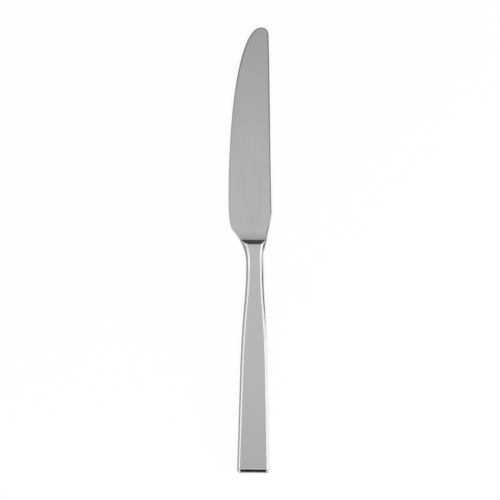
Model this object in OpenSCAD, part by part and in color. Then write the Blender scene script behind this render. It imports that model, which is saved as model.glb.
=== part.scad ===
// Table knife with a hollow handle, lying on the flat back of its handle.
// Blade, bolster, spigot and tang are one forging. The handle is two pressed half shells,
// soldered edge to edge and filled with the cement that grips the tang.
// Sizes are in millimetres. The design frame starts where the blade meets the bolster, on the
// handle's axis: X towards the spine, Y towards the tip, Z up from the plane of the seam.

/* [Blade] */
// Length of the blade from the bolster to the tip
blade_len = 114.5; // [95:0.5:135]
// Reach of the cutting edge from the handle's axis where the blade is widest
edge_reach = 14.65; // [12.5:0.05:17]
// Distance of the widest place in front of the bolster
belly_y = 24.5; // [18:0.5:35]
// Reach of the spine from the handle's axis at its hump
hump_reach = 8.65; // [8:0.05:10]
// Distance of the hump in front of the bolster
hump_y = 15; // [13:0.5:20]
// Reach of the spine where the rounded tip starts
spine_tip_reach = 6.3; // [5:0.1:7.5]
// Length of the round from the spine to the end of the tip
tip_round = 4.5; // [3:0.1:8]
// Sideways place of the end of the tip
tip_x = 2.4; // [0:0.1:4]
// Thickness of the spine at the heel
spine_t = 2; // [1.6:0.1:2.6]
// Thickness of the spine at the tip
tip_t = 1; // [0.8:0.1:1.5]
// Thickness of the blade at the heel where the ground bevel starts
heel_t = 1.2; // [0.8:0.1:1.6]
// Width of the ground bevel along the cutting edge
bevel_w = 0.8; // [0.4:0.05:1.2]
// Thickness left at the cutting edge
edge_t = 0.16; // [0.1:0.02:0.3]
// Radius of the spine's two long corners at the heel
spine_r = 0.45; // [0.3:0.05:0.5]
// Width that the spine's corners grow to at the tip, and length of the round over its end
tip_r = 0.8; // [0.5:0.05:1]

/* [Heel] */
// Distance of the heel's round in front of the bolster
heel_y = 10.5; // [8:0.5:13]
// Reach of the cutting edge at the start of the heel's round
heel_reach = 14; // [12:0.1:14.5]
// Distance in front of the bolster of the middle of the heel's diagonal
choil_y = 4.2; // [3:0.1:6]
// Reach of the middle of the heel's diagonal
choil_reach = 11.65; // [10.5:0.05:12]
// Reach of the spine's line where it turns in to the bolster
turn_reach = 8.2; // [7.6:0.05:8.8]
// Distance in front of the bolster where the spine's line turns in
turn_y = 10; // [8:0.5:12]

/* [Bolster] */
// Reach of the edge side where the blade meets the bolster
root_edge_reach = 8.45; // [7.5:0.05:9.5]
// Reach of the spine side where the blade meets the bolster
root_spine_reach = 6.4; // [6:0.05:7]
// Thickness of the blade where it meets the bolster
root_t = 2.15; // [2.05:0.05:2.8]
// Length of the hollow fillet that thickens the blade towards the bolster
root_len = 5; // [2:0.5:8]
// Width of the rounded flank of the blade's root on the edge side
root_edge_round = 0.55; // [0.4:0.05:1]
// Width of the rounded flank of the blade's root on the spine side
root_spine_round = 1.5; // [1:0.1:2]
// Length of the bolster's front slope
slope_run = 2.2; // [1.5:0.1:3]
// Length of the bolster, slope included
bolster_len = 3.6; // [3.2:0.1:6]

/* [Handle] */
// Length of the handle from the blade to the butt
handle_len = 125.5; // [110:0.5:140]
// Thickness of the handle
handle_t = 7; // [6:0.1:9]
// Width of the handle at its neck
neck_w = 9.4; // [9:0.1:11]
// Distance of the neck behind the blade
neck_y = 16; // [14:0.5:20]
// Width of the handle where it flares most
flare_w = 12.8; // [12:0.1:14.5]
// Distance of the flare behind the blade
flare_y = 45; // [38:0.5:52]
// Width of the handle at the grip
grip_w = 15; // [14:0.1:17]
// Distance of the grip behind the blade
grip_y = 70; // [60:0.5:85]
// Width of the handle at the butt
butt_w = 17.5; // [16:0.1:20]
// Width of the chamfer at the neck
neck_chamfer = 1.15; // [0.8:0.05:1.3]
// Width of the chamfer at the butt
butt_chamfer = 0.75; // [0.6:0.05:1.2]
// Inward lean of each side at the neck, from the seam up to the chamfer
neck_lean = 0.95; // [0.5:0.05:1.1]
// Inward lean of each side at the butt, from the seam up to the chamfer
butt_lean = 0.7; // [0.3:0.05:1]
// Length of the bevel across the butt
end_bevel = 1.8; // [1:0.1:2.1]
// Lean of the butt's end face, from the seam up to the bevel
end_lean = 0.55; // [0.3:0.05:0.8]
// Radius of the butt's two corners, seen from above
corner_r = 1.6; // [1:0.1:1.8]

/* [Inside] */
// Thickness of the half shells' sheet
sheet_t = 0.8; // [0.5:0.05:0.9]
// Thickness of the solder between the half shells
seam_t = 0.16; // [0.1:0.02:0.3]
// Depth of the handle's closed end in front of the butt's bevel
end_depth = 0.2; // [0.1:0.1:2]
// Length of the spigot that locates the bolster in the handle's mouth
spigot_len = 5; // [3:0.5:8]
// Gap between the spigot and the half shells
spigot_gap = 0.1; // [0.05:0.01:0.2]
// Length of the tang behind the spigot
tang_len = 52; // [30:1:70]
// Width of the tang at the spigot
tang_w = 5.4; // [4:0.1:5.8]
// Width of the tang at its end
tang_end_w = 3.4; // [2:0.1:4]
// Thickness of the tang at the spigot
tang_t = 2.6; // [2:0.1:3]
// Thickness of the tang at its end
tang_end_t = 1.8; // [1:0.1:2]
// Number of notches along each edge of the tang
notch_count = 3; // [1:1:5]
// Distance from one notch to the next, and from the spigot to the first
notch_pitch = 12; // [8:0.5:14]
// Width of a notch
notch_w = 3; // [2:0.1:5]
// Depth of a notch
notch_depth = 0.7; // [0.4:0.05:0.9]
// Shrinkage gap of the cement to the steel round it
cement_gap = 0.05; // [0.02:0.01:0.1]

/* [Hidden] */

// Steps along the curves: rounded tip, rest of the blade, heel, bolster's slope, front of the handle,
// handle, butt corner
tip_steps = 14;
blade_steps = 36;
heel_steps = 18;
slope_steps = 4;
neck_steps = 12;
handle_steps = 36;
corner_steps = 6;

// Lines of the outline: power of the belly and tip curves, and the slopes that the curves pass with
belly_power = 2.2;
spine_tip_slope = -0.03;
spine_hump_slope = -0.035;
turn_slope = 0.19;
root_spine_slope = 0.08;
bolster_spine_slope = 0.42;
heel_slope = 0.1;
choil_slope = 0.93;
root_edge_slope = 0.58;
throat_edge_slope = 0.26;
throat_spine_slope = 0.1;
flare_slope = -0.065;
grip_slope = -0.024;
butt_slope = -0.026;

// The throat lies between blade and neck: its place as a share of the neck's, and how far the sides
// have come in there, as shares of the way from the root to the neck
throat_y_share = 0.42;
throat_edge_share = 0.77;
throat_spine_share = 0.99;
// Share of the handle's widening near the bolster that the leaning sides take up
flank_share = 0.36;

// Section shares: rounds of the root and spine, and the most that they may take of a narrow tip
root_low_share = 0.15;
root_mid_share = 0.45;
root_high_share = 0.7;
corner_share = 1 - sqrt(1 / 2);
spine_wall_share = 0.85;
face_share = 2.5;
tip_bevel_share = 0.2;
tip_face_share = 0.4;
tip_spine_share = 0.3;
// Share of the thickness that the round over the tip's end takes off
tip_end_share = 0.85;
// Most of the butt's falling height that its chamfer takes up
end_chamfer_share = 0.4;
// Loss of a 45 degree chamfer's width for each unit that its section is drawn in
chamfer_loss_share = 2 - sqrt(2);

// Powers that crowd the places towards the tip, along its round and along the rest of the blade
tip_power = 2;
blade_power = 1.3;
// Power that keeps the corners of the bolster's slope near the outline at first
slope_power = 1.8;

// Flat left at the end of the tip, and step over which an outline's slope is taken
tip_land = 0.01;
slope_step = 0.03;
// Half height of the butt's end
end_land = 0.25;
// Overrun of cutting shapes, and depth to which joined shapes run into each other
overrun = 0.5;

// Places along Y
tip_apex = blade_len + tip_land;
round_y = blade_len - tip_round;
mouth_y = -bolster_len;
throat_y = -neck_y * throat_y_share;
spigot_y = mouth_y - spigot_len;
tang_y = spigot_y - tang_len;
butt_y = -handle_len;
knee_y = butt_y + end_lean;
bevel_y = knee_y + end_bevel;
cavity_y = bevel_y + end_depth;
// Half thickness of the handle, and half width of its neck
handle_h = handle_t / 2;
neck_reach = neck_w / 2;
// Fall of the blade's plane face from the spine to the bevel, as a slope
wedge_slope = (spine_t - heel_t) / 2 / (edge_reach + hump_reach);

// Knots of the outline, each [place, reach, slope], from the front to the back
spine_knots = [
    [round_y, spine_tip_reach, spine_tip_slope],
    [hump_y, hump_reach, spine_hump_slope],
    [turn_y, turn_reach, turn_slope],
    [0, root_spine_reach, root_spine_slope],
];
bolster_spine_knots = [
    [0, root_spine_reach, bolster_spine_slope],
    [throat_y, mix(root_spine_reach, neck_reach, throat_spine_share), throat_spine_slope],
    [-neck_y, neck_reach, 0],
];
edge_knots = [
    [belly_y, edge_reach, 0],
    [heel_y, heel_reach, heel_slope],
    [choil_y, choil_reach, choil_slope],
    [0, root_edge_reach, root_edge_slope],
    [throat_y, mix(root_edge_reach, neck_reach, throat_edge_share), throat_edge_slope],
    [-neck_y, neck_reach, 0],
];
handle_knots = [
    [-neck_y, neck_reach, 0],
    [-flare_y, flare_w / 2, flare_slope],
    [-grip_y, grip_w / 2, grip_slope],
    [butt_y, butt_w / 2, butt_slope],
];

function mix(a, b, t) = a + (b - a) * t;
function smooth(t) = t <= 0 ? 0 : t >= 1 ? 1 : t * t * (3 - 2 * t);

// Point of the curve that passes through two knots with their slopes
function between(a, b, y) =
    let (run = b[0] - a[0], t = (y - a[0]) / run)
    (1 + 2 * t) * (1 - t) * (1 - t) * a[1] + t * t * (3 - 2 * t) * b[1]
        + run * t * (1 - t) * ((1 - t) * a[2] - t * b[2]);

function along(knots, y, i = 0) =
    i == len(knots) - 2 || y >= knots[i + 1][0]
        ? between(knots[i], knots[i + 1], y)
        : along(knots, y, i + 1);

// Quarter of a superellipse: 1 at the start of the run, 0 at its end
function quarter(t) = pow(max(0, 1 - pow(max(0, t), belly_power)), 1 / belly_power);

// The butt's rounded corners draw the width in over the last millimetres
function corner_cut(d) =
    d >= corner_r ? 0 : corner_r - sqrt(corner_r * corner_r - (corner_r - d) * (corner_r - d));

// Reach of the outline to the cutting edge and to the spine
function edge_at(y) =
    y > belly_y ? mix(-tip_x, edge_reach, quarter((y - belly_y) / (tip_apex - belly_y)))
    : y > -neck_y ? along(edge_knots, y)
    : along(handle_knots, y) - corner_cut(y - butt_y);

function spine_at(y) =
    y > round_y ? mix(tip_x, spine_tip_reach, quarter((y - round_y) / (tip_apex - round_y)))
    : y >= 0 ? along(spine_knots, y)
    : y > -neck_y ? along(bolster_spine_knots, y)
    : along(handle_knots, y) - corner_cut(y - butt_y);

// Width, seen along X, of a strip of even width that follows an outline
function run_at(strip, reach, next, limit) =
    min(strip * sqrt(1 + pow((next - reach) / slope_step, 2)), limit);

// Half thickness of the blade's face: it falls evenly from the spine's line to the edge
function face_at(x, y, back) = max(edge_t / 2, back - wedge_slope * (along(spine_knots, y) - x));

// Share of the blade's thickness that is left where the end of the tip is rounded over
function tip_left_share(y) =
    let (d = min(1, (tip_apex - y) / tip_r))
    1 - tip_end_share * (1 - sqrt(1 - (1 - d) * (1 - d)));

// Blade section at y: the upper path from the cutting edge to the spine, as [x, z]
function blade_path(y) =
    let (
        e = edge_at(y),
        s = spine_at(y),
        width = e + s,
        sharp = smooth(y / heel_y),
        fillet = (root_t - spine_t) * pow(max(0, 1 - y / root_len), 2),
        back = (mix(spine_t, tip_t, y / blade_len) + fillet) / 2,
        e_next = edge_at(y + slope_step),
        s_next = spine_at(y + slope_step),
        bevel_strip = mix(root_edge_round * root_mid_share, bevel_w, sharp),
        face_strip = mix(root_edge_round, bevel_w * face_share, sharp),
        spine_strip = mix(root_spine_round, mix(spine_r, tip_r, y / blade_len), sharp),
        bevel = run_at(bevel_strip, e, e_next, width * tip_bevel_share) - e,
        face = run_at(face_strip, e, e_next, width * tip_face_share) - e,
        turn = run_at(spine_strip, s, s_next, width * tip_spine_share),
        top = face_at(s - turn, y, back),
        drop = min(mix(root_spine_round / 2, spine_r, sharp), top * spine_wall_share),
        left_share = tip_left_share(y),
        path = [
            [-e, mix(face_at(-e, y, back) * root_low_share, edge_t / 2, sharp)],
            [bevel, face_at(bevel, y, back) * mix(root_high_share, 1, sharp)],
            [face, face_at(face, y, back)],
            [s - turn, top],
            [s - turn * corner_share, top - drop * corner_share],
            [s, top - drop],
        ]
    )
    [for (p = path) [p[0], p[1] * left_share]];

// Handle section at y, drawn in by an inset: the upper path from the edge side to the spine side
function handle_path(y, inset = 0) =
    let (
        e = edge_at(y) - inset,
        s = spine_at(y) - inset,
        t = max(0, (-neck_y - y) / (handle_len - neck_y)),
        chamfer = mix(neck_chamfer, butt_chamfer, t) - inset * chamfer_loss_share,
        lean = mix(neck_lean, butt_lean, t),
        e_lean = lean + flank_share * max(0, edge_at(max(y, -neck_y)) - neck_reach),
        s_lean = lean + flank_share * max(0, spine_at(max(y, -neck_y)) - neck_reach),
        top = handle_h - inset,
        knee = top - chamfer,
        cap = min(top, end_height(y - butt_y) - inset),
        low = min(knee, cap - min(chamfer, (cap - seam_t / 2) * end_chamfer_share)),
        low_in = (low - seam_t / 2) / (knee - seam_t / 2)
    )
    [
        [-e, seam_t / 2],
        [-e + e_lean * low_in, low],
        [-e + e_lean + chamfer, cap],
        [s - s_lean - chamfer, cap],
        [s - s_lean * low_in, low],
        [s, seam_t / 2],
    ];

// Section on the bolster's slope, a share of the way up: its corners rise evenly and leave the outline late
function slope_path(share) =
    let (low = blade_path(0), high = handle_path(-slope_run), n = len(low))
    [
        for (i = [0:n - 1])
            let (
                start = low[i][0] - side_at(i < n / 2, 0),
                end = high[i][0] - side_at(i < n / 2, -slope_run)
            )
            [
                side_at(i < n / 2, -slope_run * share) + mix(start, end, pow(share, slope_power)),
                mix(low[i][1], high[i][1], share)
            ]
    ];
function side_at(on_edge, y) = on_edge ? -edge_at(y) : spine_at(y);

// Half height of the handle at a distance from the butt's end
function end_height(d) =
    d < end_lean ? mix(end_land, handle_h - end_bevel, d / end_lean)
    : handle_h - max(0, end_lean + end_bevel - d);

// Rings in space: half ring above the seam, and full ring round both faces
function half_ring(path, y) = [for (p = path) [p[0], y, p[1]]];
function full_ring(path, y) =
    concat(half_ring(path, y), [for (i = [len(path) - 1:-1:0]) [path[i][0], y, -path[i][1]]]);

// Places after one end and up to the other, which crowd towards the first for a power above 1
function steps(from, to, n, power = 1) = [for (i = [1:n]) mix(from, to, pow(i / n, power))];

blade_places = concat(
    [blade_len],
    steps(blade_len, round_y, tip_steps, tip_power),
    steps(round_y, hump_y, blade_steps, blade_power),
    steps(hump_y, 0, heel_steps)
);
handle_places = concat(
    [mouth_y],
    steps(mouth_y, -neck_y, neck_steps),
    steps(-neck_y, cavity_y, handle_steps),
    [bevel_y],
    steps(bevel_y, knee_y, corner_steps),
    steps(knee_y, butt_y, corner_steps)
);
cavity_places = [for (y = handle_places) if (y >= cavity_y) y];

// Box of the whole knife, which is moved so that it rests at the middle of its underside
all_places = concat(blade_places, handle_places);
x_mid = (max([for (y = all_places) spine_at(y)]) - max([for (y = all_places) edge_at(y)])) / 2;
y_mid = (blade_len - handle_len) / 2;

module placed() {
    translate([-x_mid, -y_mid, handle_h]) children();
}

// Solid through a row of rings that run from front to back
module loft(rings) {
    n = len(rings[0]);
    last = (len(rings) - 1) * n;
    polyhedron(
        points = [for (ring = rings) each ring],
        faces = concat(
            [[for (i = [n - 1:-1:0]) i]],
            [[for (i = [0:n - 1]) last + i]],
            [
                for (k = [0:n:last - n])
                    for (i = [0:n - 1])
                        let (j = (i + 1) % n)
                        each [[k + i, k + j, k + n + j], [k + i, k + n + j, k + n + i]]
            ]
        )
    );
}

// Tapered tang, grown by a gap, with the notches along its edges that key it in the cement
module tang(gap) {
    difference() {
        loft([
            for (end = [[spigot_y + overrun, tang_w, tang_t], [tang_y - gap, tang_end_w, tang_end_t]])
                let (x = end[1] / 2 + gap, z = end[2] / 2 + gap)
                [[-x, end[0], -z], [-x, end[0], z], [x, end[0], z], [x, end[0], -z]]
        ]);
        for (i = [1:notch_count], side = [-1, 1])
            let (y = i * notch_pitch, x = mix(tang_w, tang_end_w, y / tang_len) / 2 - notch_depth + gap)
            translate([side * (x + tang_w / 2), spigot_y - y, 0])
                cube([tang_w, notch_w - 2 * gap, tang_w], center = true);
    }
}

// Space inside the half shells, drawn in by a gap, from one place to another
module cavity(front_y, back_y, gap) {
    inset = sheet_t + gap;
    inner = [for (y = cavity_places) if (y < front_y && y > back_y) y];
    loft(concat(
        [full_ring(handle_path(min(front_y, mouth_y), inset), front_y)],
        [for (y = inner) full_ring(handle_path(min(y, mouth_y), inset), y)],
        [full_ring(handle_path(back_y, inset), back_y)]
    ));
}

module blade() {
    color([0.74, 0.74, 0.75])
        placed() {
            loft(concat(
                [for (y = blade_places) full_ring(blade_path(y), y)],
                [for (share = steps(0, 1, slope_steps)) full_ring(slope_path(share), -slope_run * share)],
                [full_ring(handle_path(mouth_y), mouth_y)]
            ));
            cavity(mouth_y + overrun, spigot_y, spigot_gap);
            tang(0);
        }
}

module half_shell() {
    difference() {
        loft([for (y = handle_places) half_ring(handle_path(y), y)]);
        cavity(mouth_y + overrun, cavity_y, 0);
    }
}

module front_half_shell() {
    color([0.78, 0.78, 0.79])
        placed() half_shell();
}

module back_half_shell() {
    color([0.78, 0.78, 0.79])
        placed() mirror([0, 0, 1]) half_shell();
}

module seam_solder() {
    color([0.66, 0.65, 0.62])
        placed() linear_extrude(seam_t, center = true) difference() {
            outline(handle_places, 0);
            outline(concat([mouth_y + overrun], cavity_places), sheet_t);
        }
}

// Outline of the handle in the plane of the seam, drawn in by an inset
module outline(places, inset) {
    polygon(concat(
        [for (y = places) [inset - edge_at(min(y, mouth_y)), y]],
        [for (i = [len(places) - 1:-1:0]) [spine_at(min(places[i], mouth_y)) - inset, places[i]]]
    ));
}

module tang_cement() {
    color([0.72, 0.66, 0.55])
        placed() difference() {
            cavity(spigot_y - cement_gap, cavity_y + cement_gap, cement_gap);
            tang(cement_gap);
        }
}

blade();
front_half_shell();
back_half_shell();
seam_solder();
tang_cement();
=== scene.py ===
"""Looks of the table knife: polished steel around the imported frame, a pale floor, soft light, a camera.

The knife's sizes are in millimetres and repeat the part's source. Its own frame has X towards the spine
from the handle's axis, Y towards the tip from where the blade meets the bolster, and Z up from the seam.
The stage, the lamps and the camera are in metres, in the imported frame, unless a comment says otherwise.
"""

import math

import bpy
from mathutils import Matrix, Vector


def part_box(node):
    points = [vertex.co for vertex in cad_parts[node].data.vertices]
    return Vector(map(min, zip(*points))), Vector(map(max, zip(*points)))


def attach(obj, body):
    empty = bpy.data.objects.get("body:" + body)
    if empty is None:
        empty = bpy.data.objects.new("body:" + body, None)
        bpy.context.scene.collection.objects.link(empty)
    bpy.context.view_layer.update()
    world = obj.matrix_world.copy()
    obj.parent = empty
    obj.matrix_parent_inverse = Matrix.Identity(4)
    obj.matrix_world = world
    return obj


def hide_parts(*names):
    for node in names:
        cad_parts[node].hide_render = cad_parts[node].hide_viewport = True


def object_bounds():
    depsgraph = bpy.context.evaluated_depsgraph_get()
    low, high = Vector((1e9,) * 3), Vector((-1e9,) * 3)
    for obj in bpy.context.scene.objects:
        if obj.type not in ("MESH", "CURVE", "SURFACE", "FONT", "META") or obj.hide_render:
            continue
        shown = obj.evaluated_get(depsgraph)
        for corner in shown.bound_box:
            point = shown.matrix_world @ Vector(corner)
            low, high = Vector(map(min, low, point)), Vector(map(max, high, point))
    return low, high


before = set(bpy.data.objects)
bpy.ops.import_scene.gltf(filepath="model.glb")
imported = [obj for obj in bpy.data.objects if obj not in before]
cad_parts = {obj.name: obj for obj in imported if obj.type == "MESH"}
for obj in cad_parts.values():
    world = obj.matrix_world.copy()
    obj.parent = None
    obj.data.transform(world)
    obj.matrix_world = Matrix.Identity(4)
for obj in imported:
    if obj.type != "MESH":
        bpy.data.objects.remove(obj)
cad_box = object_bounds()

# A millimetre in metres
MM = 0.001

# Bolster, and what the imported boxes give: the place of the knife's own frame and its main lengths
BOLSTER_LEN = 3.6
solder_low, solder_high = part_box("seam_solder")
blade_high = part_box("blade")[1]
AXIS_X = (solder_low.x + solder_high.x) / 2
ROOT_Y = solder_high.y + BOLSTER_LEN * MM
SEAM_Z = (solder_low.z + solder_high.z) / 2
BLADE_LEN = (blade_high.y - ROOT_Y) / MM
HANDLE_LEN = (ROOT_Y - solder_low.y) / MM
HANDLE_H = (cad_box[1].z - SEAM_Z) / MM
SEAM_T = (solder_high.z - solder_low.z) / MM
BUTT_REACH = (solder_high.x - AXIS_X) / MM

# Blade
EDGE_REACH = 14.65
BELLY_Y = 24.5
BELLY_POWER = 2.2
HUMP_REACH = 8.65
HUMP_Y = 15
HUMP_SLOPE = -0.035
SPINE_TIP_REACH = 6.3
SPINE_TIP_SLOPE = -0.03
TIP_ROUND = 4.5
TIP_X = 2.4
TIP_LAND = 0.01
SPINE_T = 2
TIP_T = 1
HEEL_T = 1.2
BEVEL_W = 0.8
EDGE_T = 0.16
SPINE_R = 0.45
TIP_R = 0.8

# Heel: the edge turns in over the choil, the spine at the turn
HEEL_Y = 10.5
HEEL_REACH = 14
HEEL_SLOPE = 0.1
CHOIL_Y = 4.2
CHOIL_REACH = 11.65
CHOIL_SLOPE = 0.93
TURN_Y = 10
TURN_REACH = 8.2
TURN_SLOPE = 0.19

# Root, bolster and the throat behind it
ROOT_EDGE_REACH = 8.45
ROOT_EDGE_SLOPE = 0.58
ROOT_SPINE_REACH = 6.4
ROOT_SPINE_SLOPE = 0.08
BOLSTER_SPINE_SLOPE = 0.42
ROOT_T = 2.15
ROOT_LEN = 5
ROOT_EDGE_ROUND = 0.55
ROOT_SPINE_ROUND = 1.5
SLOPE_RUN = 2.2
THROAT_Y_SHARE = 0.42
THROAT_EDGE_SHARE = 0.77
THROAT_EDGE_SLOPE = 0.26
THROAT_SPINE_SHARE = 0.99
THROAT_SPINE_SLOPE = 0.1

# Handle
NECK_REACH = 4.7
NECK_Y = 16
FLARE_REACH = 6.4
FLARE_Y = 45
FLARE_SLOPE = -0.065
GRIP_REACH = 7.5
GRIP_Y = 70
GRIP_SLOPE = -0.024
BUTT_SLOPE = -0.026
NECK_CHAMFER = 1.15
BUTT_CHAMFER = 0.75
NECK_LEAN = 0.95
BUTT_LEAN = 0.7
END_BEVEL = 1.8
END_LEAN = 0.55
END_LAND = 0.25
CORNER_R = 1.6

# Inside
SHEET_T = 0.8
END_DEPTH = 0.2
SPIGOT_LEN = 5
SPIGOT_GAP = 0.1
TANG_LEN = 52
TANG_W = 5.4
TANG_END_W = 3.4
TANG_T = 2.6
TANG_END_T = 1.8
TANG_CHAMFER = 0.4
NOTCH_COUNT = 3
NOTCH_PITCH = 12
NOTCH_W = 3
NOTCH_DEPTH = 0.7

# Places along Y
TIP_APEX = BLADE_LEN + TIP_LAND
ROUND_Y = BLADE_LEN - TIP_ROUND
THROAT_Y = -NECK_Y * THROAT_Y_SHARE
MOUTH_Y = -BOLSTER_LEN
SPIGOT_Y = MOUTH_Y - SPIGOT_LEN
BUTT_Y = -HANDLE_LEN
BEVEL_Y = BUTT_Y + END_LEAN + END_BEVEL
CAVITY_Y = BEVEL_Y + END_DEPTH


def mix(a, b, t):
    return a + (b - a) * t


# Knots of the outline, each (place, reach, slope), from the front to the back
SPINE_KNOTS = [
    (ROUND_Y, SPINE_TIP_REACH, SPINE_TIP_SLOPE),
    (HUMP_Y, HUMP_REACH, HUMP_SLOPE),
    (TURN_Y, TURN_REACH, TURN_SLOPE),
    (0, ROOT_SPINE_REACH, ROOT_SPINE_SLOPE),
]
BOLSTER_SPINE_KNOTS = [
    (0, ROOT_SPINE_REACH, BOLSTER_SPINE_SLOPE),
    (THROAT_Y, mix(ROOT_SPINE_REACH, NECK_REACH, THROAT_SPINE_SHARE), THROAT_SPINE_SLOPE),
    (-NECK_Y, NECK_REACH, 0),
]
EDGE_KNOTS = [
    (BELLY_Y, EDGE_REACH, 0),
    (HEEL_Y, HEEL_REACH, HEEL_SLOPE),
    (CHOIL_Y, CHOIL_REACH, CHOIL_SLOPE),
    (0, ROOT_EDGE_REACH, ROOT_EDGE_SLOPE),
    (THROAT_Y, mix(ROOT_EDGE_REACH, NECK_REACH, THROAT_EDGE_SHARE), THROAT_EDGE_SLOPE),
    (-NECK_Y, NECK_REACH, 0),
]
HANDLE_KNOTS = [
    (-NECK_Y, NECK_REACH, 0),
    (-FLARE_Y, FLARE_REACH, FLARE_SLOPE),
    (-GRIP_Y, GRIP_REACH, GRIP_SLOPE),
    (BUTT_Y, BUTT_REACH, BUTT_SLOPE),
]

# Sections: corners on the edge's side, step for slopes, taper of the faces, shares that place the corners
EDGE_CORNERS = 3
SLOPE_STEP = 0.03
WEDGE_SLOPE = (SPINE_T - HEEL_T) / 2 / (EDGE_REACH + HUMP_REACH)
ROOT_SHARES = (0.15, 0.45, 0.7)
CORNER_SHARE = 1 - math.sqrt(1 / 2)
CHAMFER_LOSS_SHARE = 2 - math.sqrt(2)
FACE_SHARE = 2.5
TIP_SHARES = (0.2, 0.4, 0.3)
FLANK_SHARE = 0.36
SPINE_WALL_SHARE = 0.85
TIP_END_SHARE = 0.85
END_CHAMFER_SHARE = 0.4

# Rounds of the finished edges, and how finely they are drawn
ARC_STEPS = 4
SUPPORT = 0.03
REACH_LIMIT = 0.42
SUPPORT_LIMIT = 0.47
EDGE_CUT = 0.14
SEAM_CUT = 0.03
SPINE_CUT = 0.16
JOINT_CUT = 0.05

# Softened creases, how late the slope's corners leave the outline, and from what angle an edge is sharp
SOFT_BEVEL = 0.27
SOFT_END = 0.12
SLOPE_SOFT = 0.1
SLOPE_POWER = 1.8
SHARP_ANGLE = math.radians(32)

# Rings of vertices in each stretch, how they crowd towards its front, and the step that closes the inside
TIP_RINGS = 40
TIP_POWER = 2
BLADE_RINGS = 130
BLADE_POWER = 1.3
HEEL_RINGS = 60
CREASE_RINGS = 8
SLOPE_RINGS = 6
BOLSTER_RINGS = 4
SPIGOT_RINGS = 8
NECK_RINGS = 30
GRIP_RINGS = 110
BEVEL_RINGS = 4
END_STEP = 0.05
END_RINGS = 24
CORNER_RINGS = 24


def smooth(t):
    t = min(1, max(0, t))
    return t * t * (3 - 2 * t)


def soft_min(a, b, width):
    """Smaller of two values, with the crease between them rounded over a width."""
    near = max(width - abs(a - b), 0) / width
    return min(a, b) - near * near * width / 4


def between(a, b, y):
    """Point of the curve that passes through two knots with their slopes."""
    run = b[0] - a[0]
    t = (y - a[0]) / run
    ends = (1 + 2 * t) * (1 - t) ** 2 * a[1] + t * t * (3 - 2 * t) * b[1]
    return ends + run * t * (1 - t) * ((1 - t) * a[2] - t * b[2])


def along(knots, y):
    """Reach at a place, on the curve through a row of knots."""
    for a, b in zip(knots, knots[1:-1]):
        if y >= b[0]:
            return between(a, b, y)
    return between(knots[-2], knots[-1], y)


def quarter(t):
    """Quarter of a superellipse: 1 at the start of the run, 0 at its end."""
    return max(0, 1 - max(0, t) ** BELLY_POWER) ** (1 / BELLY_POWER)


def corner_cut(d):
    """How far the butt's rounded corners draw the width in at a distance from the end."""
    if d >= CORNER_R:
        return 0
    return CORNER_R - math.sqrt(max(0, CORNER_R**2 - (CORNER_R - d) ** 2))


def edge_at(y):
    """Reach of the outline on the cutting edge's side."""
    if y > BELLY_Y:
        return mix(-TIP_X, EDGE_REACH, quarter((y - BELLY_Y) / (TIP_APEX - BELLY_Y)))
    if y > -NECK_Y:
        return along(EDGE_KNOTS, y)
    return along(HANDLE_KNOTS, y) - corner_cut(y - BUTT_Y)


def spine_at(y):
    """Reach of the outline on the spine's side."""
    if y > ROUND_Y:
        return mix(TIP_X, SPINE_TIP_REACH, quarter((y - ROUND_Y) / (TIP_APEX - ROUND_Y)))
    if y >= 0:
        return along(SPINE_KNOTS, y)
    if y > -NECK_Y:
        return along(BOLSTER_SPINE_KNOTS, y)
    return along(HANDLE_KNOTS, y) - corner_cut(y - BUTT_Y)


def strip_width(strip, outline, y, limit):
    """Width, seen along X, of a strip of even width that follows an outline."""
    slope = (outline(y + SLOPE_STEP) - outline(y)) / SLOPE_STEP
    return min(strip * math.sqrt(1 + slope * slope), limit)


def tip_share(y):
    """Share of the blade's thickness that is left where the end of the tip is rounded over."""
    d = min(1, (TIP_APEX - y) / TIP_R)
    return 1 - TIP_END_SHARE * (1 - math.sqrt(1 - (1 - d) ** 2))


def blade_path(y):
    """Upper half of the blade's section, from edge to spine: corners (x, z, cut of the corner)."""
    e, s = edge_at(y), spine_at(y)
    sharp = smooth(y / HEEL_Y)
    fillet = (ROOT_T - SPINE_T) * max(0, 1 - y / ROOT_LEN) ** 2
    back = (mix(SPINE_T, TIP_T, y / BLADE_LEN) + fillet) / 2
    low, mid, high = ROOT_SHARES
    bevel_limit, face_limit, turn_limit = ((e + s) * share for share in TIP_SHARES)

    def face_at(x):
        return max(EDGE_T / 2, back - WEDGE_SLOPE * (along(SPINE_KNOTS, y) - x))

    bevel_strip = mix(ROOT_EDGE_ROUND * mid, BEVEL_W, sharp)
    face_strip = mix(ROOT_EDGE_ROUND, BEVEL_W * FACE_SHARE, sharp)
    turn_strip = mix(ROOT_SPINE_ROUND, mix(SPINE_R, TIP_R, y / BLADE_LEN), sharp)
    bevel = strip_width(bevel_strip, edge_at, y, bevel_limit) - e
    face = strip_width(face_strip, edge_at, y, face_limit) - e
    turn = strip_width(turn_strip, spine_at, y, turn_limit)
    top = face_at(s - turn)
    drop = min(mix(ROOT_SPINE_ROUND / 2, SPINE_R, sharp), top * SPINE_WALL_SHARE)
    corners = [
        (-e, mix(face_at(-e) * low, EDGE_T / 2, sharp)),
        (bevel, face_at(bevel) * mix(high, 1, sharp)),
        (face, face_at(face)),
        (s - turn, top),
        (s - turn * CORNER_SHARE, top - drop * CORNER_SHARE),
        (s, top - drop),
    ]
    return [(x, z * tip_share(y), SPINE_CUT) for x, z in corners]


def end_height(d):
    """Half height of the handle at a distance from the butt's end, with the bevel's two creases softened."""
    face = mix(END_LAND, HANDLE_H - END_BEVEL, d / END_LEAN)
    bevel = HANDLE_H - END_LEAN - END_BEVEL + d
    return soft_min(HANDLE_H, soft_min(face, bevel, SOFT_END), SOFT_BEVEL)


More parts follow.
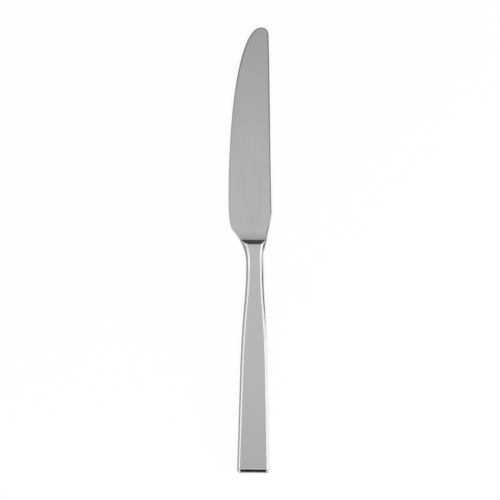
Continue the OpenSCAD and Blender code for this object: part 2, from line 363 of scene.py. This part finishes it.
def handle_path(y, inset=0):
    """Upper half of the handle's section, drawn in by an inset, from the edge side to the spine side."""
    e, s = edge_at(y) - inset, spine_at(y) - inset
    t = max(0, (-NECK_Y - y) / (HANDLE_LEN - NECK_Y))
    chamfer = mix(NECK_CHAMFER, BUTT_CHAMFER, t) - inset * CHAMFER_LOSS_SHARE
    lean = mix(NECK_LEAN, BUTT_LEAN, t)
    e_lean = lean + FLANK_SHARE * max(0, edge_at(max(y, -NECK_Y)) - NECK_REACH)
    s_lean = lean + FLANK_SHARE * max(0, spine_at(max(y, -NECK_Y)) - NECK_REACH)
    seam = SEAM_T / 2
    knee = HANDLE_H - inset - chamfer
    cap = end_height(y - BUTT_Y) - inset
    low = min(knee, cap - min(chamfer, (cap - seam) * END_CHAMFER_SHARE))
    low_in = (low - seam) / (knee - seam)
    return [
        (-e, seam, SEAM_CUT),
        (-e + e_lean * low_in, low, EDGE_CUT),
        (-e + e_lean + chamfer, cap, EDGE_CUT),
        (s - s_lean - chamfer, cap, EDGE_CUT),
        (s - s_lean * low_in, low, EDGE_CUT),
        (s, seam, SEAM_CUT),
    ]


def tang_path(width, thickness):
    """Upper half of the tang's section."""
    x, z = width / 2, thickness / 2
    right = [(x - TANG_CHAMFER, z, EDGE_CUT), (x, z - TANG_CHAMFER, EDGE_CUT), (x, SEAM_T / 2, SEAM_CUT)]
    return [(-px, pz, cut) for px, pz, cut in reversed(right)] + right


def tang_rings():
    """Places along the tang and its half sections there: each notch narrows it between two doubled rings."""
    rings = [(0, 0)]
    for i in range(1, NOTCH_COUNT + 1):
        start, end = (i * NOTCH_PITCH + side * NOTCH_W / 2 for side in (-1, 1))
        rings += [(start, 0), (start, NOTCH_DEPTH), (end, NOTCH_DEPTH), (end, 0)]
    rings.append((TANG_LEN, 0))
    paths = []
    for d, depth in rings:
        width = mix(TANG_W, TANG_END_W, d / TANG_LEN) - 2 * depth
        thickness = mix(TANG_T, TANG_END_T, d / TANG_LEN)
        paths.append((SPIGOT_Y - d, tang_path(width, thickness)))
    return paths


def both_faces(path):
    """Closed section from its upper half."""
    return path + [(x, -z, cut) for x, z, cut in reversed(path)]


def rounded(section):
    """Closed section with each corner turned into a curve that has a support point on either side."""
    points = []
    for i, (x, z, cut) in enumerate(section):
        sides = []
        for nx, nz, _ in (section[i - 1], section[(i + 1) % len(section)]):
            length = math.hypot(nx - x, nz - z)
            reach = min(cut, REACH_LIMIT * length)
            held = min(reach + SUPPORT, SUPPORT_LIMIT * length)
            sides.append([(mix(x, nx, d / length), mix(z, nz, d / length)) for d in (held, reach)])
        (before, start), (after, end) = sides
        points.append(before)
        for k in range(ARC_STEPS + 1):
            t = k / ARC_STEPS
            points.append(tuple(
                (1 - t) ** 2 * a + 2 * t * (1 - t) * c + t * t * b for a, c, b in zip(start, (x, z), end)
            ))
        points.append(after)
    return points


def steps(start, end, count, power=1):
    """Places after one end and up to the other, which crowd towards the first for a power above 1."""
    return [mix(start, end, (i / count) ** power) for i in range(1, count + 1)]


def loft(name, sections):
    """Closed mesh through a row of (place along Y, closed section), from front to back, as an object."""
    vertices = []
    for y, section in sections:
        vertices += [(AXIS_X + x * MM, ROOT_Y + y * MM, SEAM_Z + z * MM) for x, z in rounded(section)]
    n = len(vertices) // len(sections)
    last = len(vertices) - n
    faces = [range(n), range(last + n - 1, last - 1, -1)]
    for k in range(0, last, n):
        faces += [(k + i, k + n + i, k + n + (i + 1) % n, k + (i + 1) % n) for i in range(n)]
    mesh = bpy.data.meshes.new(name)
    mesh.from_pydata(vertices, [], faces)
    mesh.validate()
    mesh.shade_smooth()
    mesh.set_sharp_from_angle(angle=SHARP_ANGLE)
    piece = bpy.data.objects.new(name, mesh)
    bpy.context.scene.collection.objects.link(piece)
    return piece


def slope_share(y):
    """Share of the way up the bolster's slope, with both of its creases softened."""
    t = -y / SLOPE_RUN
    return -soft_min(-soft_min(t, 1, SLOPE_SOFT), 0, SLOPE_SOFT)


def front_section(y):
    """Section of the forging down to its bolster: on the slope the corners leave the outline late."""
    low_y, high_y = max(y, 0), min(y, -SLOPE_RUN)
    rise = max(0, slope_share(y))
    late = rise**SLOPE_POWER
    path = []
    for i, (low, high) in enumerate(zip(blade_path(low_y), handle_path(high_y))):
        here, start, end = (
            -edge_at(place) if i < EDGE_CORNERS else spine_at(place) for place in (y, low_y, high_y)
        )
        x = here + mix(low[0] - start, high[0] - end, late)
        path.append((x, mix(low[1], high[1], rise), mix(low[2], high[2], rise)))
    return both_faces(path)


def make_blade():
    """Blade, bolster, spigot and tang as one forging."""
    margin = SLOPE_SOFT * SLOPE_RUN
    places = [BLADE_LEN]
    places += steps(BLADE_LEN, ROUND_Y, TIP_RINGS, TIP_POWER)
    places += steps(ROUND_Y, HUMP_Y, BLADE_RINGS, BLADE_POWER)
    places += steps(HUMP_Y, margin, HEEL_RINGS)
    places += steps(margin, -margin, CREASE_RINGS)
    places += steps(-margin, margin - SLOPE_RUN, SLOPE_RINGS)
    places += steps(margin - SLOPE_RUN, -margin - SLOPE_RUN, CREASE_RINGS)
    places += steps(-margin - SLOPE_RUN, MOUTH_Y + JOINT_CUT, BOLSTER_RINGS)
    sections = [(y, front_section(y)) for y in places]
    sections.append((MOUTH_Y, both_faces(handle_path(MOUTH_Y, JOINT_CUT))))
    spigot = [MOUTH_Y, *steps(MOUTH_Y, SPIGOT_Y, SPIGOT_RINGS)]
    sections += [(y, both_faces(handle_path(y, SHEET_T + SPIGOT_GAP))) for y in spigot]
    sections += [(y, both_faces(path)) for y, path in tang_rings()]
    return loft("blade_forging", sections)


def shell_section(y, outer_inset, side):
    """Section of a half shell: the outside, then back along the inside, which is filled at the butt."""
    outside = handle_path(y, outer_inset)
    inside = handle_path(min(MOUTH_Y, max(y, CAVITY_Y)), SHEET_T)
    if y < CAVITY_Y:
        left, right = outside[0][0], outside[-1][0]
        shares = [(x - inside[0][0]) / (inside[-1][0] - inside[0][0]) for x, _, _ in inside]
        inside = [(mix(left + SHEET_T, right - SHEET_T, share), SEAM_T / 2, SEAM_CUT) for share in shares]
    section = outside + inside[::-1]
    if side > 0:
        return section
    return [(x, -z, cut) for x, z, cut in reversed(section)]


def make_shell(name, side):
    """Half of the handle: the front one for a side of 1, the back one for -1."""
    mouth = MOUTH_Y - JOINT_CUT
    bevel_start = BEVEL_Y + SOFT_BEVEL
    closed_end = CAVITY_Y - END_STEP
    turns = [math.pi / 2 * i / CORNER_RINGS for i in range(CORNER_RINGS, -1, -1)]
    corner = [BUTT_Y + CORNER_R * (1 - math.cos(turn)) for turn in turns]
    places = [mouth]
    places += steps(mouth, -NECK_Y, NECK_RINGS)
    places += steps(-NECK_Y, bevel_start, GRIP_RINGS)
    places += steps(bevel_start, CAVITY_Y, BEVEL_RINGS)
    places += [closed_end]
    places += steps(closed_end, corner[0], END_RINGS)
    places += corner[1:]
    sections = [(MOUTH_Y, shell_section(MOUTH_Y, JOINT_CUT, side))]
    sections += [(y, shell_section(y, 0, side)) for y in places]
    return loft(name, sections)


# Steels: darkest and lightest colour, roughness, and strength of the grain
STEELS = {
    "satin_blade_steel": ((0.64, 0.64, 0.638), (0.68, 0.68, 0.678), 0.16, 0.06),
    "polished_handle_steel": ((0.61, 0.61, 0.608), (0.65, 0.65, 0.648), 0.11, 0.03),
    "solder": ((0.55, 0.54, 0.5), (0.6, 0.59, 0.55), 0.2, 0.05),
}

# Noise: scale along each axis in cells a metre, and detail
HAZE = ((90, 35, 90), 4)
GRAIN = ((5200, 45, 5200), 3)
SCRATCHES = ((1500, 110, 1500), 1)
SPECKLE = ((2600, 2600, 2600), 4)
BLOTCHES = ((220, 220, 220), 3)

# Spans of noise or edge sharpness over which each effect sets in, and what it adds to a steel's roughness
NOISE_SPAN = (0.3, 0.7)
SCRATCH_SPAN = (0.7, 0.76)
WORN_SPAN = (0.52, 0.6)
HAZE_ROUGH = (-0.025, 0.03)
GRAIN_ROUGH = (-0.02, 0.02)
SCRATCH_ROUGH = 0.05
WORN_ROUGH = 0.03

# Relief of a steel: the grain's height in metres, and a scratch's depth as a share of it
GRAIN_HEIGHT = 0.00002
SCRATCH_DEPTH = 0.6

# Cement
CEMENT_DARK = (0.36, 0.29, 0.2, 1)
CEMENT_LIGHT = (0.6, 0.52, 0.39, 1)
CEMENT_SPAN = (0.35, 0.65)
CEMENT_ROUGH = (0.75, 0.95)
SPECKLE_SHARE = 0.6
SPECKLE_HEIGHT = 0.0001
SPECKLE_STRENGTH = 0.4

# Places of the colour sockets on Blender's Mix node, and the colour of what glows
MIX_SHARE = 0
MIX_FIRST = 6
MIX_SECOND = 7
MIX_RESULT = 2
WHITE = (1, 1, 1, 1)


def add_node(tree, kind, inputs=None, **settings):
    """New node with its settings and its inputs, each a value or the socket that feeds it."""
    node = tree.nodes.new(kind)
    for name, value in settings.items():
        setattr(node, name, value)
    for name, value in (inputs or {}).items():
        if isinstance(value, bpy.types.NodeSocket):
            tree.links.new(value, node.inputs[name])
        else:
            node.inputs[name].default_value = value
    return node


def new_material(name):
    """Empty node material, its node tree and its output node."""
    material = bpy.data.materials.new(name)
    material.use_nodes = True
    tree = material.node_tree
    tree.nodes.clear()
    output = add_node(tree, "ShaderNodeOutputMaterial")
    return material, tree, output


def stretched_noise(tree, scale, detail):
    """Noise in the object's own metres, with its own scale along each axis."""
    place = add_node(tree, "ShaderNodeTexCoord").outputs["Object"]
    mapped = add_node(tree, "ShaderNodeMapping", {"Vector": place, "Scale": scale}).outputs["Vector"]
    noise = add_node(tree, "ShaderNodeTexNoise", {"Vector": mapped, "Scale": 1, "Detail": detail})
    return noise.outputs["Fac"]


def ranged(tree, value, span, to_span, interpolation="LINEAR"):
    """Value mapped from one span to another and held inside it."""
    node = add_node(tree, "ShaderNodeMapRange", {
        "Value": value, "From Min": span[0], "From Max": span[1], "To Min": to_span[0], "To Max": to_span[1],
    }, interpolation_type=interpolation)
    return node.outputs["Result"]


def math_node(tree, operation, a, b):
    return add_node(tree, "ShaderNodeMath", {0: a, 1: b}, operation=operation).outputs["Value"]


def mixed_colour(tree, share, first, second):
    """Colour between two others, each a colour or the socket that feeds it."""
    inputs = {MIX_SHARE: share, MIX_FIRST: first, MIX_SECOND: second}
    return add_node(tree, "ShaderNodeMix", inputs, data_type="RGBA").outputs[MIX_RESULT]


def steel(name):
    """Polished steel: lengthwise grain, haze from handling, fine scratches and edges dulled by wear."""
    material, tree, output = new_material(name)
    dark, light, rough, grain = STEELS[name]
    haze = stretched_noise(tree, *HAZE)
    fine = stretched_noise(tree, *GRAIN)
    scratch = ranged(tree, stretched_noise(tree, *SCRATCHES), SCRATCH_SPAN, (0, 1))
    worn = ranged(tree, add_node(tree, "ShaderNodeNewGeometry").outputs["Pointiness"], WORN_SPAN, (0, 1))

    hazed = ranged(tree, haze, NOISE_SPAN, [rough + change for change in HAZE_ROUGH])
    grained = math_node(tree, "ADD", hazed, ranged(tree, fine, NOISE_SPAN, GRAIN_ROUGH))
    scratched = math_node(tree, "ADD", grained, math_node(tree, "MULTIPLY", scratch, SCRATCH_ROUGH))
    roughness = math_node(tree, "ADD", scratched, math_node(tree, "MULTIPLY", worn, WORN_ROUGH))
    height = math_node(tree, "SUBTRACT", fine, math_node(tree, "MULTIPLY", scratch, SCRATCH_DEPTH))
    bump = add_node(tree, "ShaderNodeBump", {"Height": height, "Strength": grain, "Distance": GRAIN_HEIGHT})
    shader = add_node(tree, "ShaderNodeBsdfPrincipled", {
        "Base Color": mixed_colour(tree, haze, (*dark, 1), (*light, 1)),
        "Roughness": roughness,
        "Metallic": 1,
        "Normal": bump.outputs["Normal"],
    })
    tree.links.new(shader.outputs["BSDF"], output.inputs["Surface"])
    return material


def cement():
    """Matt filled resin: sandy speckle in blotches, with a grainy surface."""
    material, tree, output = new_material("filled_resin")
    speckle = stretched_noise(tree, *SPECKLE)
    blotch = stretched_noise(tree, *BLOTCHES)
    speckled = math_node(tree, "MULTIPLY", speckle, SPECKLE_SHARE)
    blotched = math_node(tree, "MULTIPLY", blotch, 1 - SPECKLE_SHARE)
    shade = ranged(tree, math_node(tree, "ADD", speckled, blotched), CEMENT_SPAN, (0, 1))
    bump = add_node(tree, "ShaderNodeBump", {
        "Height": speckle, "Strength": SPECKLE_STRENGTH, "Distance": SPECKLE_HEIGHT,
    })
    shader = add_node(tree, "ShaderNodeBsdfPrincipled", {
        "Base Color": mixed_colour(tree, shade, CEMENT_DARK, CEMENT_LIGHT),
        "Roughness": ranged(tree, speckle, NOISE_SPAN, CEMENT_ROUGH),
        "Normal": bump.outputs["Normal"],
    })
    tree.links.new(shader.outputs["BSDF"], output.inputs["Surface"])
    return material


def finish_piece(piece, material, node=None):
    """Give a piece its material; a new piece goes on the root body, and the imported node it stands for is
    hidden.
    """
    piece.data.materials.clear()
    piece.data.materials.append(material)
    if node:
        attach(piece, "root")
        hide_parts(node)


# Floor, how far apart the layers of painted reflection sheets on it are, and in how many steps a sheet
# follows the knife
FLOOR_DROP = 0.0001
FLOOR_SIZE = 12.0
FLOOR_COLOR = (0.92, 0.92, 0.92, 1)
FLOOR_GLOW = 0.9
CARD_LIFT = 0.00003
CARD_STEPS = 24

# Painted dark reflections: dark sheets that stand across the ends of the knife and show only in the steel:
# name, place along Y, middle, reach, height, level
END_DARK_SHEETS = [
    ("tip_painted_dark", 0.15, 0, 0.17, 0.022, 0.083),
    ("butt_painted_dark", -0.15, AXIS_X, BUTT_REACH * MM, 0.008, 0.001),
]

# Painted shade and glow on the floor beside the knife, as sheets that show only in the steel, in the knife's
# millimetres: name, side, start and end as (place, gap, width), level, layer
SIDE_PAINTED_SHEETS = [
    ("root_painted_shade", -1, (3, 0.5, 60), (-9, 0.5, 30), 0.5, 1),
    ("left_painted_shade", -1, (-9, 0.5, 10), (BUTT_Y - 4, 0.5, 10), 0.48, 1),
    # painted glow: a strip beside the handle's right side that glows brighter than the white floor
    ("right_painted_glow", 1, (3, 0.3, 30), (BUTT_Y, 0.3, 12), 1.3, 1),
]
SPINE_PAINTED_SHADE = ("spine_painted_shade", 1, (14, 0.5, 80), (BLADE_LEN, 0.5, 80), 0.28, 2)

# Painted shade over the right painted glow, graded in strips of (front end, level), and its gap and width at
# the two ends
RIGHT_STRIPS = [(2, 0.28), (-5.5, 0.6), (-12.5, 0.42), (-17, 0.12), (-38, 0.5), (-42, 0.75), (-46, 1)]
RIGHT_STRIPS_END = -53
RIGHT_STRIPS_GAP = (4.35, 3.45)
RIGHT_STRIPS_WIDTH = (20, 8)

# Painted floor shade behind the butt, from one distance to another, and a painted dark reflection: a dark
# sheet that stands to the right of the blade
BUTT_CARD = (0.0003, 0.015)
BUTT_CARD_LEVEL = 0.56
SPINE_DARK_SHEET_X = 0.3
SPINE_DARK_SHEET_Y = (0.02, 0.14)
SPINE_DARK_SHEET_Z = (0, 0.4)
SPINE_DARK_SHEET_LEVEL = 0.28


def plane(name, corners, material):
    """Stage piece through a row of corner pairs."""
    mesh = bpy.data.meshes.new(name)
    faces = [(i, i + 1, i + 3, i + 2) for i in range(0, len(corners) - 2, 2)]
    mesh.from_pydata(corners, [], faces)
    piece = bpy.data.objects.new(name, mesh)
    bpy.context.scene.collection.objects.link(piece)
    mesh.materials.append(material)
    return piece


def floor_material():
    """White floor that keeps a shadow: part of what is seen of it is its own light, the rest is lit."""
    material, tree, output = new_material("pale_floor")
    path = add_node(tree, "ShaderNodeLightPath")
    seen = math_node(tree, "MAXIMUM", path.outputs["Is Camera Ray"], path.outputs["Is Glossy Ray"])
    seen = math_node(tree, "MAXIMUM", seen, path.outputs["Is Transmission Ray"])
    share = math_node(tree, "MULTIPLY", seen, FLOOR_GLOW)
    lit = add_node(tree, "ShaderNodeBsdfDiffuse", {"Color": FLOOR_COLOR})
    glow = add_node(tree, "ShaderNodeEmission", {"Color": WHITE, "Strength": 1})
    inputs = {0: share, 1: lit.outputs["BSDF"], 2: glow.outputs["Emission"]}
    shown = add_node(tree, "ShaderNodeMixShader", inputs)
    tree.links.new(shown.outputs["Shader"], output.inputs["Surface"])
    return material


def card(name, corners, level):
    """Painted reflection: a sheet that glows at an even grey level and shows in polished metal alone."""
    material, tree, output = new_material(name)
    glow = add_node(tree, "ShaderNodeEmission", {"Color": WHITE, "Strength": level})
    tree.links.new(glow.outputs["Emission"], output.inputs["Surface"])
    piece = plane(name, corners, material)
    piece.visible_camera = False
    piece.visible_diffuse = False
    piece.visible_shadow = False


def side_card(name, side, start, end, level, layer):
    """Painted reflection on the floor, a sheet that follows the outline on the edge's side (-1) or the
    spine's (1).
    """
    outline = spine_at if side > 0 else edge_at
    corners = []
    for i in range(CARD_STEPS + 1):
        y, gap, width = (mix(a, b, i / CARD_STEPS) for a, b in zip(start, end))
        for d in (gap, gap + width):
            x = AXIS_X + side * (outline(y) + d) * MM
            corners.append((x, ROOT_Y + y * MM, layer * CARD_LIFT - FLOOR_DROP))
    card(name, corners, level)


def right_strips():
    """Rows of side sheets for the painted shade over the right painted glow."""
    first = RIGHT_STRIPS[0][0]
    edges = []
    for y in [*(place for place, _ in RIGHT_STRIPS), RIGHT_STRIPS_END]:
        share = (y - first) / (RIGHT_STRIPS_END - first)
        edges.append((y, mix(*RIGHT_STRIPS_GAP, share), mix(*RIGHT_STRIPS_WIDTH, share)))
    levels = [level for _, level in RIGHT_STRIPS]
    return [(f"right_painted_shade_{i + 1}", 1, edges[i], edges[i + 1], level, 2) for i, level in enumerate(levels)]


def make_stage():
    """Floor, and the painted reflections that the steel mirrors: painted dark sheets, painted floor shade
    and a painted glow.
    """
    half = FLOOR_SIZE / 2
    plane("floor", [(x, y, -FLOOR_DROP) for y in (-half, half) for x in (-half, half)], floor_material())
    for name, y, middle, reach, height, level in END_DARK_SHEETS:
        card(name, [(middle + side * reach, y, z) for z in (0, height) for side in (-1, 1)], level)
    for row in (*SIDE_PAINTED_SHEETS, *right_strips(), SPINE_PAINTED_SHADE):
        side_card(*row)
    butt, reach, z = ROOT_Y + BUTT_Y * MM, BUTT_REACH * MM, CARD_LIFT - FLOOR_DROP
    corners = [(AXIS_X + side * reach, butt - d, z) for d in BUTT_CARD for side in (-1, 1)]
    card("butt_painted_shade", corners, BUTT_CARD_LEVEL)
    card("spine_painted_dark", [(SPINE_DARK_SHEET_X, y, z) for z in SPINE_DARK_SHEET_Z for y in SPINE_DARK_SHEET_Y], SPINE_DARK_SHEET_LEVEL)


# Sky and left wall, in stops of (degrees from overhead towards the tip, level)
OVERHEAD = [
    (-90, 0.8), (-70, 1), (-45, 1), (-20, 0.9), (-9, 0.6), (-3.5, 0.57), (-2.6, 0.815), (-1.8, 0.815),
    (-0.8, 0.715), (0, 0.755), (1.2, 0.985), (2.6, 0.655), (4.4, 0.375), (9, 0.31), (18, 0.3), (30, 0.46),
    (46, 0.45), (58, 0.32), (66, 0.083),
]
LEFT = [
    (-90, 0.9), (-30, 0.9), (-8, 0.6), (2, 0.6), (5, 0.74), (8, 0.74), (9.2, 0.1), (11, 0.15), (14, 0.3),
    (20, 0.38),
]

# Right wall, in stops of (degrees from straight right towards the tip, as seen from above, level)
RIGHT = [
    (-90, 1), (-26, 0.9), (-21, 0.2), (-12.5, 0.2), (-10.5, 0.9), (-9, 0.9), (-2, 0.22), (18, 0.22),
    (34, 0.46), (90, 0.46),
]

# How far sideways a direction points where a side's stops begin to take over, and where they alone count
SIDE_SPAN = (0.2, 0.45)

# Softboxes
LEFT_PLACE = (-0.4, -0.048, 0.04)
LEFT_SIZE = (0.196, 0.08)
LEFT_RADIANCE = 0.71
RIGHT_PLACE = (0.4, 0, 0.09)
RIGHT_SIZE = (0.5, 0.16)
RIGHT_RADIANCE = 2.0
KEY_PLACE = (0, -0.75, 1.05)
KEY_SIZE = (1.0, 0.7)
KEY_RADIANCE = 4.0


def level_ramp(tree, angle, stops):
    """Grey level by an angle, from stops of (degrees, level)."""
    fac = ranged(tree, angle, (-math.pi / 2, math.pi / 2), (0, 1))
    ramp = add_node(tree, "ShaderNodeValToRGB", {"Fac": fac})
    while len(ramp.color_ramp.elements) < len(stops):
        ramp.color_ramp.elements.new(1)
    for element, (degrees, level) in zip(ramp.color_ramp.elements, stops):
        element.position = (degrees + 90) / 180
        element.color = (level, level, level, 1)
    return ramp.outputs["Color"]


def make_world():
    """Soft surroundings: a graded sky, darker towards the tip, and a graded wall on either side."""
    world = bpy.data.worlds.new("soft_studio")
    bpy.context.scene.world = world
    world.use_nodes = True
    tree = world.node_tree
    tree.nodes.clear()
    direction = add_node(tree, "ShaderNodeTexCoord").outputs["Generated"]
    part = add_node(tree, "ShaderNodeSeparateXYZ", {"Vector": direction}).outputs
    pitch = math_node(tree, "ARCTAN2", part["Y"], part["Z"])
    azimuth = math_node(tree, "ARCTAN2", part["Y"], part["X"])
    level = level_ramp(tree, pitch, OVERHEAD)
    for sign, side in ((-1, level_ramp(tree, pitch, LEFT)), (1, level_ramp(tree, azimuth, RIGHT))):
        sideways = math_node(tree, "MULTIPLY", part["X"], sign)
        level = mixed_colour(tree, ranged(tree, sideways, SIDE_SPAN, (0, 1), "SMOOTHSTEP"), level, side)
    background = add_node(tree, "ShaderNodeBackground", {"Color": level, "Strength": 1})
    output = add_node(tree, "ShaderNodeOutputWorld")
    tree.links.new(background.outputs["Background"], output.inputs["Surface"])


def area_lamp(name, place, target, size, radiance, mirrored=True):
    """Softbox of an even brightness, aimed at a point. Polished metal shows it if it is to be mirrored."""
    lamp = bpy.data.lights.new(name, "AREA")
    lamp.shape = "RECTANGLE"
    lamp.size, lamp.size_y = size
    lamp.energy = radiance * math.pi * size[0] * size[1]
    holder = bpy.data.objects.new(name, lamp)
    holder.location = place
    aim = Vector(target) - Vector(place)
    holder.rotation_euler = aim.to_track_quat("-Z", "Y").to_euler()
    holder.visible_camera = False
    holder.visible_glossy = mirrored
    bpy.context.scene.collection.objects.link(holder)


def make_lamps():
    """Softbox on either side, which the chamfers mirror, and a key softbox above and behind the butt."""
    for name, place, size, radiance in (
        ("left_softbox", LEFT_PLACE, LEFT_SIZE, LEFT_RADIANCE),
        ("right_softbox", RIGHT_PLACE, RIGHT_SIZE, RIGHT_RADIANCE),
    ):
        area_lamp(name, place, (0, *place[1:]), size, radiance)
    area_lamp("key_softbox", KEY_PLACE, (0, 0, 0), KEY_SIZE, KEY_RADIANCE, mirrored=False)


# Camera: straight above, as far away as a long lens needs, with its centre in the knife's own millimetres
CAMERA_HEIGHT = 2.0
CAMERA_CLIP = (0.1, 50)
CAMERA_ROLL = 0.0086
SENSOR_WIDTH = 36
FRAME_WIDTH = 0.2693
FRAME_CENTRE = (-2.79, -5.41)


def make_camera():
    camera = bpy.data.cameras.new("camera")
    camera.sensor_width = SENSOR_WIDTH
    camera.lens = SENSOR_WIDTH * (CAMERA_HEIGHT - SEAM_Z) / FRAME_WIDTH
    camera.clip_start, camera.clip_end = CAMERA_CLIP
    holder = bpy.data.objects.new("camera", camera)
    x, y = FRAME_CENTRE
    holder.location = (AXIS_X + x * MM, ROOT_Y + y * MM, CAMERA_HEIGHT)
    holder.rotation_euler = (0, 0, CAMERA_ROLL)
    bpy.context.scene.collection.objects.link(holder)
    bpy.context.scene.camera = holder


blade_steel = steel("satin_blade_steel")
handle_steel = steel("polished_handle_steel")
finish_piece(make_blade(), blade_steel, "blade")
finish_piece(make_shell("handle_front", 1), handle_steel, "front_half_shell")
finish_piece(make_shell("handle_back", -1), handle_steel, "back_half_shell")
finish_piece(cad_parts["seam_solder"], steel("solder"))
finish_piece(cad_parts["tang_cement"], cement())
make_stage()
make_world()
make_lamps()
make_camera()
bpy.context.scene.view_settings.view_transform = "Standard"
